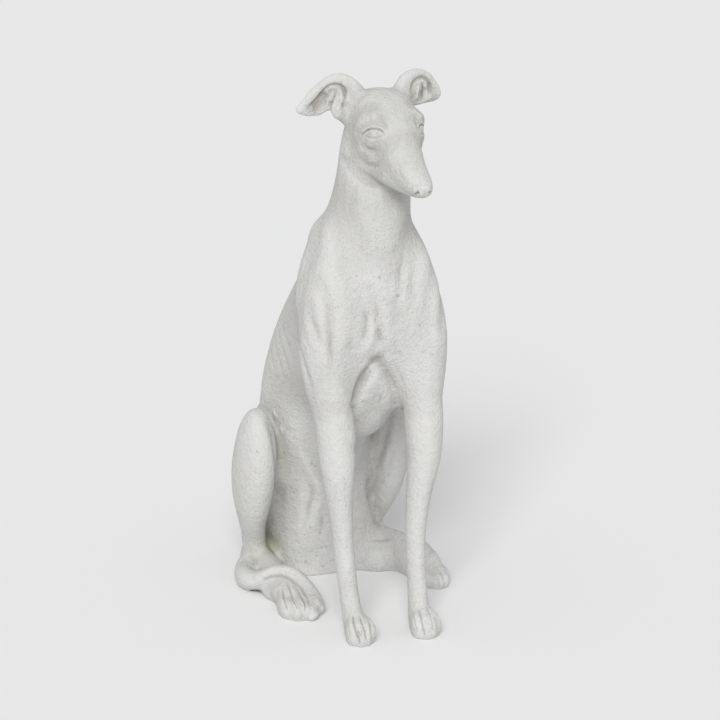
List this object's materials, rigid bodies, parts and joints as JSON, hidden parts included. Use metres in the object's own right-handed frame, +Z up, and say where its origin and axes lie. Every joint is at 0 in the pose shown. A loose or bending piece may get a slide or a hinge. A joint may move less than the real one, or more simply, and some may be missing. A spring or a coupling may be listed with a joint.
{
  "type": "sitting dog sculpture",
  "caption": "Life-size sitting sight hound, cast in one off-white piece, with folded ears and its tail curled round the right hind foot.",
  "frame": {"origin": "on the floor, under the middle of the bounding box", "axes": "+Z up, the dog looks along -Y, and +X is the dog's left side"},
  "size_m": [0.2878, 0.453, 0.7397],
  "materials": {
    "cast": "matte, slightly grained off-white casting with small pits and pale stains in the creases"
  },
  "bodies": {
    "root": {"dog_sculpture": "cast"}
  },
  "joints": []
}
